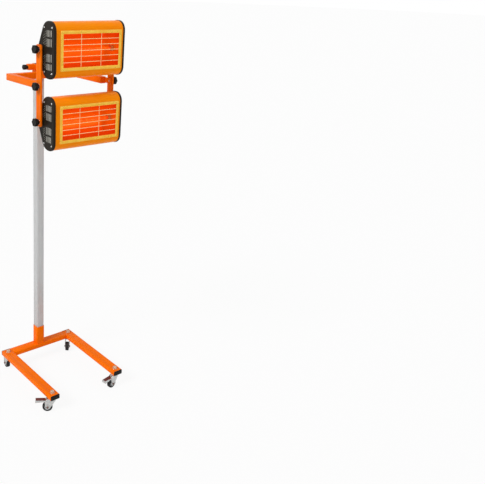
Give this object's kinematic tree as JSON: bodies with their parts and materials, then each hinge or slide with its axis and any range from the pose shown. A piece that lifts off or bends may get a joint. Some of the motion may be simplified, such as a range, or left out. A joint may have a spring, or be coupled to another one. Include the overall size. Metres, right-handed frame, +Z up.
{
  "type": "infrared paint curing lamp",
  "caption": "Wheeled U-shaped stand with a square pole and a sliding yoke that carries stacked infrared heat heads between tilting side bars, set by hand knobs.",
  "frame": {"origin": "on the floor, under the middle of the part seen from above; the pole stands 23 mm to +X and 214 mm to +Y of it", "axes": "+Z up, -Y the way the heads face, X across the lamp; a node called left is on the -X side"},
  "size_m": [0.482, 0.5184, 1.8395],
  "materials": {
    "orange_paint": "glossy powder coat",
    "bare_steel": "bare drawn tube",
    "zinc_plate": "bright zinc plate",
    "black_plastic": "satin moulding",
    "cap_plastic": "fine moulded grain",
    "dark_rubber": "matt tread",
    "red_pedal": "satin",
    "gold_reflector": "bright gold anodised",
    "pale_wire": "bright plated wire and frame",
    "white_ceramic": "matt",
    "hot_quartz": "clear, lit from inside"
  },
  "bodies": {
    "base": {"base_leg_left": "orange_paint", "base_leg_right": "orange_paint", "leg_plug_front_left": "black_plastic", "leg_plug_front_right": "black_plastic", "leg_plug_rear_left": "black_plastic", "leg_plug_rear_right": "black_plastic", "base_cross_tube": "orange_paint", "pole_socket": "orange_paint", "socket_bolt": "zinc_plate", "pole": "bare_steel", "pole_top_cap": "black_plastic", "castor_stem_front_left": "zinc_plate", "castor_stem_front_right": "zinc_plate", "castor_stem_rear_left": "zinc_plate", "castor_stem_rear_right": "zinc_plate"},
    "carriage": {"carriage_sleeve": "orange_paint", "yoke_arm_left": "orange_paint", "yoke_arm_right": "orange_paint", "yoke_cross_tube": "orange_paint"},
    "clamp_knob": {"clamp_knob": "black_plastic"},
    "side_frame": {"side_bar_left": "orange_paint", "side_bar_right": "orange_paint"},
    "head_upper": {"housing_upper": "orange_paint", "end_cap_left_upper": "cap_plastic", "end_cap_right_upper": "cap_plastic", "reflector_upper": "gold_reflector", "guard_upper": "pale_wire", "infrared_tube_upper": "hot_quartz", "tube_holder_left_upper": "white_ceramic", "tube_holder_right_upper": "white_ceramic", "cable_gland_upper": "black_plastic"},
    "head_lower": {"housing_lower": "orange_paint", "end_cap_left_lower": "cap_plastic", "end_cap_right_lower": "cap_plastic", "reflector_lower": "gold_reflector", "guard_lower": "pale_wire", "infrared_tube_lower": "hot_quartz", "tube_holder_left_lower": "white_ceramic", "tube_holder_right_lower": "white_ceramic", "cable_gland_lower": "black_plastic"},
    "knob_middle_left": {"knob_middle_left": "black_plastic"},
    "knob_middle_right": {"knob_middle_right": "black_plastic"},
    "knob_upper_left": {"knob_upper_left": "black_plastic"},
    "knob_upper_right": {"knob_upper_right": "black_plastic"},
    "knob_lower_left": {"knob_lower_left": "black_plastic"},
    "knob_lower_right": {"knob_lower_right": "black_plastic"},
    "castor_front_left": {"castor_fork_front_left": "zinc_plate", "castor_axle_front_left": "zinc_plate"},
    "wheel_front_left": {"castor_wheel_front_left": "dark_rubber"},
    "pedal_front_left": {"brake_pedal_front_left": "red_pedal"},
    "castor_front_right": {"castor_fork_front_right": "zinc_plate", "castor_axle_front_right": "zinc_plate"},
    "wheel_front_right": {"castor_wheel_front_right": "dark_rubber"},
    "pedal_front_right": {"brake_pedal_front_right": "red_pedal"},
    "castor_rear_left": {"castor_fork_rear_left": "zinc_plate", "castor_axle_rear_left": "zinc_plate"},
    "wheel_rear_left": {"castor_wheel_rear_left": "dark_rubber"},
    "castor_rear_right": {"castor_fork_rear_right": "zinc_plate", "castor_axle_rear_right": "zinc_plate"},
    "wheel_rear_right": {"castor_wheel_rear_right": "dark_rubber"}
  },
  "joints": [
    {"name": "carriage_slide", "type": "slide", "parent": "base", "child": "carriage", "axis": [0, 0, 1], "range_m": [-1.12, 0]},
    {"name": "clamp_knob_turn", "type": "hinge", "parent": "carriage", "child": "clamp_knob", "pos_m": [-0.03685, 0.21384, 1.6045], "axis": [1, 0, 0], "range_deg": [0, 360]},
    {"name": "side_frame_tilt", "type": "hinge", "parent": "carriage", "child": "side_frame", "pos_m": [0.02295, -0.10416, 1.57], "axis": [1, 0, 0], "range_deg": [-45, 45]},
    {"name": "head_upper_tilt", "type": "hinge", "parent": "side_frame", "child": "head_upper", "pos_m": [0.02295, -0.10416, 1.723], "axis": [1, 0, 0], "range_deg": [-90, 90]},
    {"name": "head_lower_tilt", "type": "hinge", "parent": "side_frame", "child": "head_lower", "pos_m": [0.02295, -0.10416, 1.417], "axis": [1, 0, 0], "range_deg": [-90, 90]},
    {"name": "knob_middle_left_turn", "type": "hinge", "parent": "side_frame", "child": "knob_middle_left", "pos_m": [-0.17034, -0.10416, 1.57], "axis": [-1, 0, 0], "range_deg": [0, 360]},
    {"name": "knob_middle_right_turn", "type": "hinge", "parent": "side_frame", "child": "knob_middle_right", "pos_m": [0.21626, -0.10416, 1.57], "axis": [1, 0, 0], "range_deg": [0, 360]},
    {"name": "knob_upper_left_turn", "type": "hinge", "parent": "head_upper", "child": "knob_upper_left", "pos_m": [-0.17034, -0.10416, 1.723], "axis": [-1, 0, 0], "range_deg": [0, 360]},
    {"name": "knob_upper_right_turn", "type": "hinge", "parent": "head_upper", "child": "knob_upper_right", "pos_m": [0.21626, -0.10416, 1.723], "axis": [1, 0, 0], "range_deg": [0, 360]},
    {"name": "knob_lower_left_turn", "type": "hinge", "parent": "head_lower", "child": "knob_lower_left", "pos_m": [-0.17034, -0.10416, 1.417], "axis": [-1, 0, 0], "range_deg": [0, 360]},
    {"name": "knob_lower_right_turn", "type": "hinge", "parent": "head_lower", "child": "knob_lower_right", "pos_m": [0.21626, -0.10416, 1.417], "axis": [1, 0, 0], "range_deg": [0, 360]},
    {"name": "castor_front_left_swivel", "type": "hinge", "parent": "base", "child": "castor_front_left", "pos_m": [-0.17005, -0.23116, 0.078], "axis": [0, 0, 1], "continuous": true},
    {"name": "wheel_front_left_roll", "type": "hinge", "parent": "castor_front_left", "child": "wheel_front_left", "pos_m": [-0.18955, -0.21897, 0.025], "axis": [-0.5299, -0.848, 0], "continuous": true},
    {"name": "pedal_front_left_press", "type": "hinge", "parent": "castor_front_left", "child": "pedal_front_left", "pos_m": [-0.19633, -0.21473, 0.0612], "axis": [-0.5299, -0.848, 0], "range_deg": [0, 10]},
    {"name": "castor_front_right_swivel", "type": "hinge", "parent": "base", "child": "castor_front_right", "pos_m": [0.21596, -0.23116, 0.078], "axis": [0, 0, 1], "continuous": true},
    {"name": "wheel_front_right_roll", "type": "hinge", "parent": "castor_front_right", "child": "wheel_front_right", "pos_m": [0.19338, -0.23555, 0.025], "axis": [0.1908, -0.9816, 0], "continuous": true},
    {"name": "pedal_front_right_press", "type": "hinge", "parent": "castor_front_right", "child": "pedal_front_right", "pos_m": [0.18552, -0.23707, 0.0612], "axis": [0.1908, -0.9816, 0], "range_deg": [0, 10]},
    {"name": "castor_rear_left_swivel", "type": "hinge", "parent": "base", "child": "castor_rear_left", "pos_m": [-0.17005, 0.21084, 0.078], "axis": [0, 0, 1], "continuous": true},
    {"name": "wheel_rear_left_roll", "type": "hinge", "parent": "castor_rear_left", "child": "wheel_rear_left", "pos_m": [-0.16724, 0.23367, 0.025], "axis": [-0.9925, 0.1219, 0], "continuous": true},
    {"name": "castor_rear_right_swivel", "type": "hinge", "parent": "base", "child": "castor_rear_right", "pos_m": [0.21596, 0.21084, 0.078], "axis": [0, 0, 1], "continuous": true},
    {"name": "wheel_rear_right_roll", "type": "hinge", "parent": "castor_rear_right", "child": "wheel_rear_right", "pos_m": [0.20117, 0.19323, 0.025], "axis": [0.766, -0.6428, 0], "continuous": true}
  ]
}
